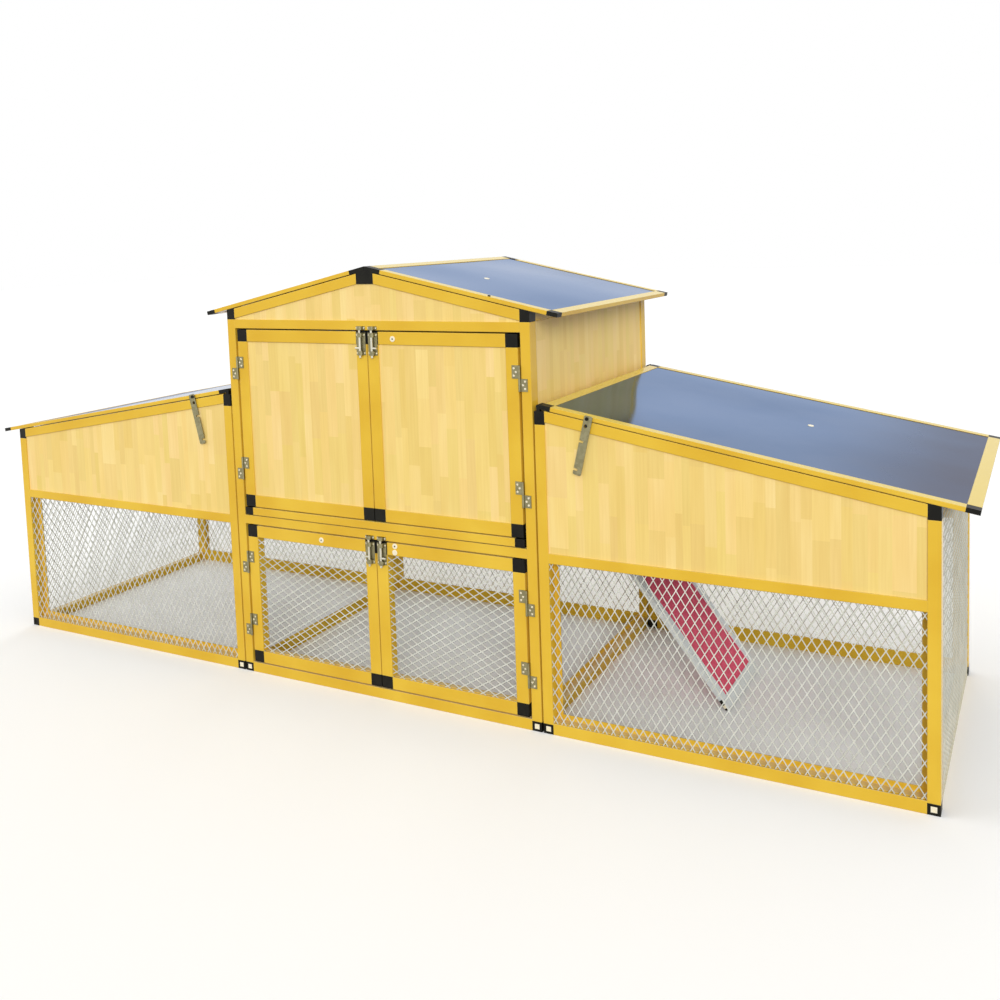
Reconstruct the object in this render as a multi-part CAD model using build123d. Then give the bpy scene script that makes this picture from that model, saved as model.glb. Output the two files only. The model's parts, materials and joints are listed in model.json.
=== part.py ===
from build123d import *
import os
from math import asin, atan, cos, degrees, radians, sin, sqrt

os.makedirs("parts", exist_ok=True)

# Sizes are in mm. X runs along the length, y is measured back from the front face, Z is up.
# The right half and the front are drawn, and mirrors make the left half and the back.

# Modules
DEPTH = 835.0
TOWER_W = 998.0
RUN_L = 956.0
MODULE_GAP = 5.0

# Bars of the frames
POST_W = 28.0
BAR_D = 35.0
RAIL_H = 26.0
RAKE_H = 28.0
BASE_H = 30.0
WALL = 1.6
GROOVE_BLOCK = 12.0
FIN_H = 14.0
FIN_T = 3.0

# Panels and nets, held in grooves of the level bars
PANEL_T = 6.0
MESH_T = 2.0
SET_BACK = 3.0
GROOVE_D = 8.0
GROOVE_CLEAR = 0.2
REACH = 7.0
STRAND = 3.0
NET_RIM = 9.0

# Heights of the tower
TOWER_MID_Z = 459.0
TOWER_TOP_Z = 1046.0
TOWER_EAVE_Z = 1098.0
TOWER_RIDGE_Z = 1207.0
RIDGE_HALF = 28.0
RIDGE_BLOCK_Z = 1172.5
RIDGE_BAR_W = 30.0

# Heights of the runs
RUN_MID_Z = 454.0
RUN_HIGH_Z = 852.0
RUN_EAVE_Z = 686.0
HIGH_BLOCK_Z = 812.0
HIGH_BLOCK_TOP = 846.5
EAVE_BLOCK_Z = 657.0
END_INSET = 4.0
END_D = 26.0

# Roofs
ROOF_T = 11.0
ROOF_W = 28.0
ROOF_EAVE_W = 30.0
SHEET_T = 3.5
SHEET_UP = 6.2
ROOF_SEAM = 2.6
REST_CLEAR = 0.3
TOWER_ROOF_REACH = 588.0
RIDGE_CAP_L = 50.0
RIDGE_GAP = 0.8
RUN_ROOF_REACH = 1036.0

# Pivots of the run roofs
HINGE_IN = 11.0
LUG_R = 5.5
LUG_Y = 12.0
LUG_CLEAR = 0.3
LUG_ROOM = 0.6
LUG_WEB = 9.0
AXLE_R = 3.0
RUN_FIT = 0.06
ROOF_START = LUG_R + LUG_ROOM

# Lid stays
STAY_ARM = 138.0
STAY_TOP = 8.0
STAY_LENGTH = 146.0
STAY_IN = 8.0
STAY_OUT = 14.0
STAY_T = 2.0
STAY_NOTCH = 6.5
STAY_NOTCH_PAST = 3.0
STAY_MID = 60.0
STAY_WINDOW_R = 5.0
STAY_END_R = 4.0
ROOF_OPEN = 50.0
SPACER_R = 5.0
SPACER_L = 3.4
SCREW_R = 2.5
SCREW_HEAD_R = 4.5
SCREW_HEAD_L = 2.5
STAY_PLAY = 0.1
STUD_HEAD_R = 4.2
STUD_HEAD_L = 1.8
STUD_L = 3.0
STUD_BELOW = 10.5

# Doors
DOOR_SIDE_GAP = 8.0
DOOR_MEET = 3.0
DOOR_GAP = 4.0
DOOR_BAR = 35.0
DOOR_D = 28.0
UPPER_Z = 513.0

# Door hinges
LEAF_W = 22.0
LEAF_T = 2.0
LEAF_UP = 34.0
LEAF_DOWN = 33.0
LEAF_GAP = 0.3
KNUCKLE_R = 3.0
KNUCKLE_OUT = 3.3
PIN_R = 1.8
HINGE_FROM_END = 114.0

# Barrel bolts
BOLT_X = 19.5
BOLT_PLATE_W = 30.0
BOLT_PLATE_H = 62.0
BOLT_PLATE_T = 1.5
BOLT_TOP = 3.0
GUIDE_W = 16.0
GUIDE_H = 12.0
GUIDE_ROUND = 5.0
BOLT_OUT = 6.5
BOLT_R = 3.5
BOLT_LENGTH = 76.0
BOLT_TIP = 0.4
KNOB_DOWN = 45.0
KNOB_R = 3.0
KNOB_L = 15.0
KEEPER_UP = 1.0
KEEPER_H = 10.0
KEEPER_PLAY = 0.5
GUIDE_WALL = 1.5

# Tray
TRAY_BAR_H = 22.0
TRAY_BAR_D = 20.0
TRAY_PROUD = 2.0
TRAY_SIDE_GAP = 5.0
TRAY_CAP_L = 28.0
TRAY_LIFT = 3.0
PAN_W = 904.0
PAN_BACK = 790.0
PAN_H = 22.0
PAN_T = 1.5
PAN_LIFT = 0.5
RUNNER_W = 30.0
RUNNER_T = 4.0
RUNNER_H = 24.0

# Doorway, perches and ramp
DOORWAY_Y0 = 310.0
DOORWAY_Y1 = 610.0
DOORWAY_Z0 = 520.0
DOORWAY_Z1 = 800.0
PERCH_D = 30.0
PERCH_H = 22.0
PERCH_ROUND = 8.0
PERCH_Z = 640.0
PERCH_Y = (220.0, 690.0)
RAMP_SLOPE = radians(52.0)
RAMP_X = 512.0
RAMP_Z = 505.0
RAMP_T = 14.0
RAMP_BAR = 28.0
RAMP_END = 30.0
RAMP_TOP = 7.0
RAMP_TONGUE = 4.0
MAT_LOW = 3.0
MAT_HIGH = 5.0
RAMP_PIN_R = 3.0
RAMP_PIN_L = 12.0
EAR_T = 4.0
EAR_R = 7.0
EAR_GAP = 0.5
EAR_FOOT_W = 24.0
EAR_FOOT_T = 2.0
EAR_FOOT_LOW = 2.0

# Feet, and the spacers that join the runs to the tower
FOOT_H = 26.0
PLUG = 14.0
PLUG_D = 2.0
SPACER_DISC_R = 7.0
SPACER_Z = (150.0, 400.0, 760.0)

# Cells of the nets, across and up
RUN_NET = (22, 6)
END_NET = (16, 8)
DOOR_NET = (6, 10)
BACK_NET = (22, 6)

# Places worked out from the sizes
TOWER_X = TOWER_W / 2
POST_X = TOWER_X - POST_W
RUN_X0 = TOWER_X + MODULE_GAP
RUN_X1 = RUN_X0 + RUN_L
RUN_IN = RUN_X0 + POST_W
RUN_OUT = RUN_X1 - POST_W
BACK_Y = DEPTH - BAR_D
SIDE_L = BACK_Y - BAR_D
TOWER_SLOPE = atan((TOWER_RIDGE_Z - TOWER_EAVE_Z) / TOWER_X)
RUN_SLOPE = atan((RUN_HIGH_Z - RUN_EAVE_Z) / RUN_L)
HINGE_X = RUN_X0 + HINGE_IN
HINGE_UP = ROOF_T / 2 + ROOF_SEAM
DOOR_X0 = DOOR_MEET / 2
DOOR_X1 = POST_X - DOOR_SIDE_GAP
DOOR_AXIS_X = POST_X - DOOR_SIDE_GAP / 2
TRAY_Z = TOWER_MID_Z + RAIL_H + TRAY_LIFT
PAN_Z = TOWER_MID_Z + RAIL_H + PAN_LIFT
TRAY_X = POST_X - TRAY_SIDE_GAP
SIDE_TOP_Z = TOWER_TOP_Z + RAIL_H
RAMP_L = (RAMP_Z - RAMP_T / 2 * cos(RAMP_SLOPE)) / sin(RAMP_SLOPE)
GUIDE_OUT = BOLT_OUT + BOLT_R + GUIDE_WALL
FRONT_Y = (GUIDE_OUT - DEPTH) / 2

UP = (0, 0, 1)
BACK = (0, 1, 0)
RIGHT = (1, 0, 0)
LEFT = (-1, 0, 0)
TALL = 2000.0
LOW = (Align.MIN, Align.MIN)


def tower_line(x):
    """Height of the tower's rake tops at x."""
    return TOWER_RIDGE_Z - abs(x) * (TOWER_RIDGE_Z - TOWER_EAVE_Z) / TOWER_X


def run_line(x):
    """Height of a run's rake tops at x."""
    return RUN_HIGH_Z - (x - RUN_X0) * (RUN_HIGH_Z - RUN_EAVE_Z) / RUN_L


HINGE_Z = run_line(HINGE_X) + HINGE_UP / cos(RUN_SLOPE)


def block(x0, x1, y0, y1, z0, z1):
    """Upright box between two corners."""
    return Pos(x0, y0, z0) * Box(x1 - x0, y1 - y0, z1 - z0, align=(Align.MIN, Align.MIN, Align.MIN))


def prism(points, y0, y1):
    """Outline drawn in X and Z, carried from y0 back to y1."""
    outline = Wire.make_polygon([Vector(x, y0, z) for x, z in points], close=True)
    return Solid.extrude(Face(outline), Vector(0, y1 - y0, 0))


def rod_y(x, z, radius, y0, y1):
    """Round bar along y."""
    circle = Plane(origin=(x, y0, z), x_dir=RIGHT, z_dir=BACK) * Circle(radius)
    return extrude(circle, amount=y1 - y0)


def rod_z(x, y, radius, z0, z1):
    """Round bar along Z."""
    return extrude(Pos(x, y, z0) * Circle(radius), amount=z1 - z0)


def section(face, depth, grooves=(), fin=False):
    """Cross-section of a hollow bar, with grooves near its front and a fin at its back."""
    shape = Rectangle(face, depth, align=LOW)
    slot = Rectangle(GROOVE_D, PANEL_T + 2 * GROOVE_CLEAR, align=LOW)
    front_low = WALL
    front_high = face - WALL
    if "low" in grooves:
        shape -= Pos(0, SET_BACK - GROOVE_CLEAR) * slot
        front_low += GROOVE_D
    if "high" in grooves:
        shape -= Pos(face - GROOVE_D, SET_BACK - GROOVE_CLEAR) * slot
        front_high -= GROOVE_D
    if grooves:
        rear = Rectangle(face - 2 * WALL, depth - GROOVE_BLOCK - WALL, align=LOW)
        shape -= Pos(WALL, GROOVE_BLOCK) * rear
        front = Rectangle(front_high - front_low, GROOVE_BLOCK - 2 * WALL, align=LOW)
        shape -= Pos(front_low, WALL) * front
    else:
        shape -= Pos(WALL, WALL) * Rectangle(face - 2 * WALL, depth - 2 * WALL, align=LOW)
    if fin:
        shape += Pos(face, depth - FIN_T) * Rectangle(FIN_H, FIN_T, align=LOW)
    return shape


def bar(start, across, inward, length, profile):
    """Bar whose face runs across and whose depth runs inward from the start corner."""
    along = Vector(*across).cross(Vector(*inward))
    return extrude(Plane(origin=start, x_dir=across, z_dir=along) * profile, amount=length)


def level(x0, x1, z, profile):
    """Level bar of the front."""
    return bar((x1, 0, z), UP, BACK, x1 - x0, profile)


def upright(x, z0, z1, profile):
    """Upright bar of the front."""
    return bar((x, 0, z0), RIGHT, BACK, z1 - z0, profile)


def sidebar(x, z, profile):
    """Level bar along y, with its face outward to the right at x."""
    return bar((x, BACK_Y, z), UP, LEFT, SIDE_L, profile)


def rake(x0, x1, line, slope):
    """Sloping bar of the front, cut upright at both ends."""
    start_x = x1 + BAR_D
    lean = (sin(slope), 0, cos(slope))
    start = (start_x, 0, line(start_x) - RAKE_H / cos(slope))
    long_bar = bar(start, lean, BACK, (x1 - x0 + 2 * BAR_D) / cos(slope), section(RAKE_H, BAR_D, ("low",)))
    return long_bar & block(x0, x1, 0, BAR_D, 0, TALL)


def to_back(shape):
    return mirror(shape, about=Plane(origin=(0, DEPTH / 2, 0), x_dir=RIGHT, z_dir=BACK))


def to_left(shape):
    return mirror(shape, about=Plane.YZ)


def lefts(shapes):
    return [to_left(s) for s in shapes]


def both_ends(shapes):
    return shapes + [to_back(s) for s in shapes]


def both_sides(shapes):
    return shapes + lefts(shapes)


def tilted(shape, x, z, slope):
    """Lay a shape drawn flat at the origin down the slope from x, z."""
    return Pos(x, 0, z) * Rot(0, degrees(slope), 0) * shape


def net(plane, width, height, cells):
    """Flat net of diamonds with a plain rim, drawn on a plane from its corner."""
    columns, rows = cells
    half_u = (width - 2 * NET_RIM) / columns / 2
    half_v = (height - 2 * NET_RIM) / rows / 2
    shrink = 1 - STRAND / 2 * sqrt(half_u ** 2 + half_v ** 2) / (half_u * half_v)
    holes = []
    for i in range(2 * columns + 1):
        for j in range(2 * rows + 1):
            if (i + j) % 2:
                continue
            corners = []
            for du, dv in ((1, 0), (0, 1), (-1, 0), (0, -1)):
                inside = 0 <= i + du <= 2 * columns and 0 <= j + dv <= 2 * rows
                if inside:
                    corners.append((i + du * shrink, j + dv * shrink))
            if len(corners) == 2:
                corners.append((i, j))
            holes.append([(NET_RIM + u * half_u, NET_RIM + v * half_v) for u, v in corners])
    frame = [(0, 0), (width, 0), (width, height), (0, height)]
    wires = [Wire.make_polygon([plane.from_local_coords(Vector(u, v, 0)) for u, v in loop], close=True)
             for loop in [frame] + holes]
    sheet = Face(wires[0], wires[1:])
    if sheet.normal_at().dot(plane.z_dir) < 0:
        sheet = -sheet
    return Solid.extrude(sheet, plane.z_dir * MESH_T)


def front_net(x0, x1, z0, z1, cells):
    """Net of the front, set back behind the face."""
    corner = Plane(origin=(x0, SET_BACK + MESH_T, z0), x_dir=RIGHT, z_dir=(0, -1, 0))
    return net(corner, x1 - x0, z1 - z0, cells)


def save(name, shapes):
    placed = [Pos(0, FRONT_Y, 0) * s for s in shapes]
    solids = [solid for s in placed for solid in s.solids()]
    export_step(Compound(children=solids), "parts/" + name + ".step")


SIDES = (("right", list), ("left", lefts))
mid_profile = section(RAIL_H, BAR_D, ("low", "high"))
low_profile = section(BASE_H, BAR_D, ("high",), fin=True)
post_profile = section(POST_W, BAR_D)
panel_y = (SET_BACK, SET_BACK + PANEL_T)

# Tower frame
tower_posts = both_sides(both_ends([upright(POST_X, FOOT_H, SIDE_TOP_Z, post_profile)]))
tower_rails = [
    level(-POST_X, POST_X, 0, section(BASE_H, BAR_D)),
    level(-POST_X, POST_X, TOWER_MID_Z, section(RAIL_H, BAR_D)),
    level(-POST_X, POST_X, TOWER_TOP_Z, section(RAIL_H, BAR_D, ("high",))),
    to_back(level(-POST_X, POST_X, 0, low_profile)),
    to_back(level(-POST_X, POST_X, TOWER_MID_Z, mid_profile)),
    to_back(level(-POST_X, POST_X, TOWER_TOP_Z, mid_profile)),
    sidebar(RIDGE_BAR_W / 2, RIDGE_BLOCK_Z, section(RAIL_H, RIDGE_BAR_W)),
]
tower_side_rails = both_sides([
    sidebar(TOWER_X, 0, section(BASE_H, POST_W, (), fin=True)),
    sidebar(TOWER_X, TOWER_MID_Z, section(RAIL_H, POST_W, ("high",))),
    sidebar(TOWER_X, SIDE_TOP_Z, section(RAIL_H, POST_W, ("low",))),
])
tower_rakes = both_sides(both_ends([rake(RIDGE_HALF, POST_X, tower_line, TOWER_SLOPE)]))
save("tower_frame", tower_posts + tower_rails + tower_side_rails + tower_rakes)

# Tower panels
rake_tuck = (RAKE_H - REACH) / cos(TOWER_SLOPE)
gable_half = [
    (POST_X, TOWER_TOP_Z + RAIL_H - REACH),
    (POST_X, tower_line(POST_X) - rake_tuck),
    (RIDGE_HALF, tower_line(RIDGE_HALF) - rake_tuck),
    (RIDGE_HALF, RIDGE_BLOCK_Z),
]
gable = prism(gable_half + [(-x, z) for x, z in reversed(gable_half)], *panel_y)
back_panel = block(-POST_X, POST_X, *panel_y, TOWER_MID_Z + RAIL_H - REACH, TOWER_TOP_Z + REACH)
wall_x = (TOWER_X - SET_BACK - PANEL_T, TOWER_X - SET_BACK)
side_panel = block(*wall_x, BAR_D, BACK_Y, TOWER_MID_Z + RAIL_H - REACH, SIDE_TOP_Z + REACH)
doorway = block(*wall_x, DOORWAY_Y0, DOORWAY_Y1, DOORWAY_Z0, DOORWAY_Z1)
save("tower_panels", both_ends([gable]) + [to_back(back_panel), to_left(side_panel)])
save("tower_right_panel", [side_panel - doorway])
lower_net = front_net(-POST_X, POST_X, BASE_H - REACH, TOWER_MID_Z + REACH, BACK_NET)
save("tower_back_mesh", [to_back(lower_net)])

# Tower roof, drawn flat for the right slope and laid down from the ridge
ridge_cut = block(RIDGE_GAP / 2, TALL, 0, DEPTH, 0, TALL)
eave_x = TOWER_ROOF_REACH - ROOF_EAVE_W


def roof_rail(x0, x1):
    """Front bar of a roof frame, with the sheet's groove in its inner side."""
    shape = block(x0, x1, 0, ROOF_W, 0, ROOF_T)
    hollow = block(x0, x1, WALL, ROOF_W - GROOVE_BLOCK, WALL, ROOF_T - WALL)
    low = SHEET_UP - GROOVE_CLEAR
    high = SHEET_UP + SHEET_T + GROOVE_CLEAR
    return shape - hollow - block(x0, x1, ROOF_W - GROOVE_D, ROOF_W, low, high)


def cross_rail(x0, x1):
    """Bar of a roof frame along y."""
    hollow = block(x0 + WALL, x1 - WALL, ROOF_W, DEPTH - ROOF_W, WALL, ROOF_T - WALL)
    return block(x0, x1, ROOF_W, DEPTH - ROOF_W, 0, ROOF_T) - hollow


def roof_sheet(x0, x1):
    """Sheet between the cross rails, tucked into the grooves of the front and back bars."""
    return block(x0, x1, ROOF_W - REACH, DEPTH - ROOF_W + REACH, SHEET_UP, SHEET_UP + SHEET_T)


def on_tower(shape):
    return tilted(Pos(0, 0, ROOF_SEAM) * shape, 0, TOWER_RIDGE_Z, TOWER_SLOPE)


slope_bars = both_ends([on_tower(roof_rail(RIDGE_CAP_L, eave_x))])
slope_bars.append(on_tower(cross_rail(eave_x, TOWER_ROOF_REACH)))
slope_bars.append(on_tower(cross_rail(-ROOF_T, ROOF_W)) & ridge_cut)
save("tower_roof_frames", both_sides(slope_bars))
cap_room = block(ROOF_W, RIDGE_CAP_L, 0, ROOF_W, 0, ROOF_T)
tower_sheet = roof_sheet(ROOF_W, eave_x) - cap_room - to_back(cap_room)
save("tower_roof_sheets", both_sides([on_tower(tower_sheet)]))

# Tower connectors: eave corners, ridge blocks and the caps of the roof frames
tower_seam = ROOF_SEAM / cos(TOWER_SLOPE)
eave_block = prism([
    (POST_X, SIDE_TOP_Z), (TOWER_X, SIDE_TOP_Z),
    (TOWER_X, tower_line(TOWER_X) + tower_seam), (POST_X, tower_line(POST_X) + tower_seam),
], 0, BAR_D)
ridge_shoulder = tower_line(RIDGE_HALF) + tower_seam
ridge_block = prism([
    (-RIDGE_HALF, RIDGE_BLOCK_Z), (RIDGE_HALF, RIDGE_BLOCK_Z), (RIDGE_HALF, ridge_shoulder),
    (0, TOWER_RIDGE_Z + tower_seam), (-RIDGE_HALF, ridge_shoulder),
], 0, BAR_D)
ridge_cap = on_tower(block(-ROOF_T, RIDGE_CAP_L, 0, ROOF_W, 0, ROOF_T)) & ridge_cut
eave_cap = on_tower(block(eave_x, TOWER_ROOF_REACH, 0, ROOF_W, 0, ROOF_T))
caps = both_sides(both_ends([ridge_cap, eave_cap, eave_block]))
save("tower_connectors", caps + both_ends([ridge_block]))

# Run frames
run_post_in = upright(RUN_X0, FOOT_H, HIGH_BLOCK_Z, post_profile)
run_post_in += block(RUN_IN, RUN_IN + FIN_H, BAR_D - FIN_T, BAR_D, BASE_H + FIN_H, RUN_MID_Z)
run_post_out = upright(RUN_OUT, FOOT_H, EAVE_BLOCK_Z, post_profile)
run_post_out += block(RUN_OUT - FIN_H, RUN_OUT, BAR_D - FIN_T, BAR_D, BASE_H + FIN_H, RUN_MID_Z)
run_front = [
    run_post_in,
    run_post_out,
    level(RUN_IN, RUN_OUT, 0, low_profile),
    level(RUN_IN, RUN_OUT, RUN_MID_Z, mid_profile),
    rake(RUN_IN, RUN_OUT, run_line, RUN_SLOPE),
]
END_X = RUN_X1 - END_INSET
END_TOP_Z = run_line(END_X) - RAIL_H
run_cross = [
    sidebar(END_X, 0, section(BASE_H, END_D)),
    sidebar(END_X, END_TOP_Z, section(RAIL_H, END_D)),
    sidebar(RUN_IN, HIGH_BLOCK_Z, section(RAIL_H, POST_W)),
]
run_bars = both_ends(run_front) + run_cross

# Run panels and nets
run_tuck = (RAKE_H - REACH) / cos(RUN_SLOPE)
run_panel = prism([
    (RUN_IN, RUN_MID_Z + RAIL_H - REACH), (RUN_OUT, RUN_MID_Z + RAIL_H - REACH),
    (RUN_OUT, run_line(RUN_OUT) - run_tuck), (RUN_IN, run_line(RUN_IN) - run_tuck),
], *panel_y)
run_net = front_net(RUN_IN, RUN_OUT, BASE_H - REACH, RUN_MID_Z + REACH, RUN_NET)
end_corner = Plane(origin=(END_X, BAR_D, 0), x_dir=BACK, z_dir=RIGHT)
end_net = net(end_corner, SIDE_L, END_TOP_Z + RAIL_H, END_NET)

# Run connectors: high blocks with the roof pivots, and eave blocks
lug_web = block(HINGE_X - LUG_WEB / 2, HINGE_X + LUG_WEB / 2, 0, LUG_Y, HIGH_BLOCK_Z, HINGE_Z)
high_block = block(RUN_X0, RUN_IN, 0, BAR_D, HIGH_BLOCK_Z, HIGH_BLOCK_TOP) + lug_web
high_block += rod_y(HINGE_X, HINGE_Z, LUG_R, 0, LUG_Y)
high_block += rod_y(HINGE_X, HINGE_Z, AXLE_R, LUG_Y, ROOF_W)
run_seam = (ROOF_SEAM - REST_CLEAR) / cos(RUN_SLOPE)
run_eave_block = prism([
    (RUN_OUT, EAVE_BLOCK_Z), (RUN_X1, EAVE_BLOCK_Z),
    (RUN_X1, run_line(RUN_X1) + run_seam), (RUN_OUT, run_line(RUN_OUT) + run_seam),
], 0, BAR_D)
save("run_connectors", both_sides(both_ends([high_block, run_eave_block])))

# Run roofs, drawn flat from the pivot and laid down the slope
run_eave_x = RUN_ROOF_REACH - ROOF_EAVE_W
run_high_x = ROOF_START + ROOF_W


def on_run(shape):
    return tilted(Pos(0, 0, -ROOF_T / 2) * shape, HINGE_X, HINGE_Z, RUN_SLOPE)


def at_run(x, z):
    """Place in the coop of a point given from the pivot, down the slope and across it."""
    return (HINGE_X + x * cos(RUN_SLOPE) + z * sin(RUN_SLOPE), HINGE_Z - x * sin(RUN_SLOPE) + z * cos(RUN_SLOPE))


run_roof_bars = both_ends([on_run(roof_rail(run_high_x, run_eave_x))])
run_roof_bars.append(on_run(cross_rail(ROOF_START, run_high_x)))
run_roof_bars.append(on_run(cross_rail(run_eave_x, RUN_ROOF_REACH)))
run_roof_sheet = on_run(roof_sheet(run_high_x, run_eave_x))
lug = block(0, run_high_x, LUG_Y + LUG_CLEAR, ROOF_W, ROOF_T / 2 - LUG_R, ROOF_T / 2 + LUG_R)
high_cap = block(ROOF_START, run_high_x, 0, ROOF_W, 0, ROOF_T) + lug
high_cap += rod_y(0, ROOF_T / 2, LUG_R, LUG_Y + LUG_CLEAR, ROOF_W)
high_cap -= rod_y(0, ROOF_T / 2, AXLE_R + RUN_FIT, 0, DEPTH)
run_eave_cap = block(run_eave_x, RUN_ROOF_REACH, 0, ROOF_W, 0, ROOF_T)
run_roof_caps = both_ends([on_run(high_cap), on_run(run_eave_cap)])

# Lid stays: the strap hangs from a screw on the roof and lies over a stud on the rake
stud_down = HINGE_UP + STUD_BELOW
stud_swing = asin(stud_down / STAY_ARM)
stud_x, stud_z = at_run(STAY_ARM * cos(stud_swing), -stud_down)
screw_x, screw_z = at_run(STAY_ARM, 0)
stud_s = 2 * STAY_ARM * sin(stud_swing / 2)
stay_end_s = 2 * STAY_ARM * sin((radians(ROOF_OPEN) + stud_swing) / 2)
stay_turn = RUN_SLOPE + stud_swing / 2


def stay_notch(s):
    return block(-STAY_IN, STAY_NOTCH_PAST, 0, STAY_T, -s - STAY_NOTCH / 2, -s + STAY_NOTCH / 2)


strap = block(-STAY_IN, STAY_OUT, 0, STAY_T, -STAY_LENGTH, STAY_TOP)
strap = fillet(strap.edges().filter_by(Axis.Y), STAY_END_R)
strap -= rod_y(0, 0, SCREW_R + STAY_PLAY, 0, STAY_T)
strap -= rod_y(0, -stud_s, STAY_WINDOW_R, 0, STAY_T)
strap = strap - stay_notch(STAY_MID) - stay_notch(stay_end_s)
stay = Pos(screw_x, -SPACER_L - STAY_T, screw_z) * Rot(0, degrees(stay_turn), 0) * strap
stay_front = -SPACER_L - STAY_T - STAY_PLAY
stay_screw = rod_y(screw_x, screw_z, SPACER_R, -SPACER_L + STAY_PLAY, 0)
stay_screw += rod_y(screw_x, screw_z, SCREW_R, stay_front, 0)
stay_screw += rod_y(screw_x, screw_z, SCREW_HEAD_R, stay_front - SCREW_HEAD_L, stay_front)
stud = rod_y(stud_x, stud_z, SCREW_R, -STUD_L, 0)
stud += rod_y(stud_x, stud_z, STUD_HEAD_R, -STUD_L, STUD_HEAD_L - STUD_L)
save("stay_studs", both_sides([stud]))

for side, turn in SIDES:
    save(side + "_run_frame", turn(run_bars))
    save(side + "_run_panels", turn(both_ends([run_panel])))
    save(side + "_run_front_mesh", turn([run_net]))
    save(side + "_run_back_mesh", turn([to_back(run_net)]))
    save(side + "_run_end_mesh", turn([end_net]))
    save(side + "_roof_frame", turn(run_roof_bars))
    save(side + "_roof_sheet", turn([run_roof_sheet]))
    save(side + "_roof_caps", turn(run_roof_caps + [stay_screw]))
    save(side + "_lid_stay", turn([stay]))

# Feet
foot_x = (POST_X, RUN_X0, RUN_OUT)
plug_x = (POST_W - PLUG) / 2
plug_z = (FOOT_H - PLUG) / 2
feet = []
for x in foot_x:
    foot = block(x, x + POST_W, 0, BAR_D, 0, FOOT_H)
    feet.append(foot - block(x + plug_x, x + plug_x + PLUG, 0, PLUG_D, plug_z, plug_z + PLUG))
save("feet", both_sides(both_ends(feet)))
spacers = []
for z in SPACER_Z:
    disc = Plane(origin=(TOWER_X, BAR_D / 2, z), x_dir=UP, z_dir=RIGHT) * Circle(SPACER_DISC_R)
    spacers.append(extrude(disc, amount=MODULE_GAP))
save("module_spacers", both_sides(both_ends(spacers)))

# Doors
stile = section(DOOR_BAR, DOOR_D)
door_rail_low = section(DOOR_BAR, DOOR_D, ("high",))
door_rail_high = section(DOOR_BAR, DOOR_D, ("low",))
inner_x = (DOOR_X0 + DOOR_BAR, DOOR_X1 - DOOR_BAR)
post_leaves = []
keepers = []


def hinge_leaf(direction, z0, z1):
    """Leaf of a door hinge with its knuckle, reaching right (1) or left (-1) from the axis."""
    ends = sorted((DOOR_AXIS_X, DOOR_AXIS_X + direction * LEAF_W))
    return block(*ends, -LEAF_T, 0, z0, z1) + rod_z(DOOR_AXIS_X, -KNUCKLE_OUT, KNUCKLE_R, z0, z1)


def guide(z0, z1, play, foot_y):
    """Arched block on a face with the bolt's hole up through it."""
    shape = block(BOLT_X - GUIDE_W / 2, BOLT_X + GUIDE_W / 2, -GUIDE_OUT, foot_y, z0, z1)
    shape = fillet(shape.edges().filter_by(Axis.Z).sort_by(Axis.Y)[:2], GUIDE_ROUND)
    return shape - rod_z(BOLT_X, -BOLT_OUT, BOLT_R + play, z0, z1)


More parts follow.
